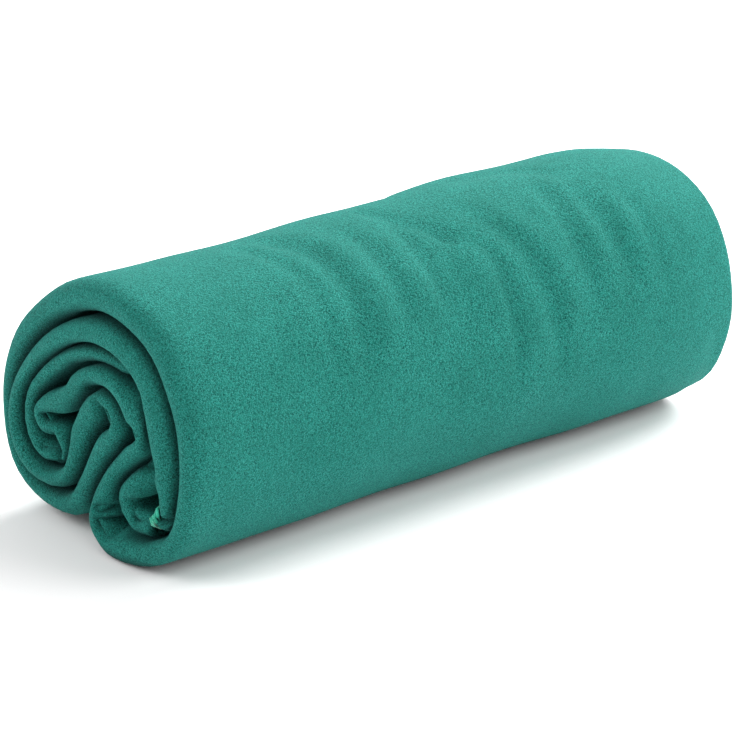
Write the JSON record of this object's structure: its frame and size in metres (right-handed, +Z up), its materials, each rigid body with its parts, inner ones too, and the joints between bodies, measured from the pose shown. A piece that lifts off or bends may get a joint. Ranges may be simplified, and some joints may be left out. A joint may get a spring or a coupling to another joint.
{
  "type": "quick dry towel",
  "caption": "Soft microfibre travel towel folded into a strip and rolled into a loose cylinder, with overlocked edges showing at its ends.",
  "frame": {"origin": "centre of the bounding box's underside, where the roll lies on the floor", "axes": "+Y along the roll towards its far end, where the long edges show; -Y towards the end with the rounded folds; +Z up"},
  "size_m": [0.0886, 0.195, 0.0709],
  "materials": {
    "cloth": "matte brushed microfibre pile",
    "edge_thread": "satin overlock thread"
  },
  "bodies": {
    "root": {"towel_cloth": "cloth", "long_edge_thread": "edge_thread", "short_edge_thread_a": "edge_thread", "short_edge_thread_b": "edge_thread"}
  },
  "joints": []
}
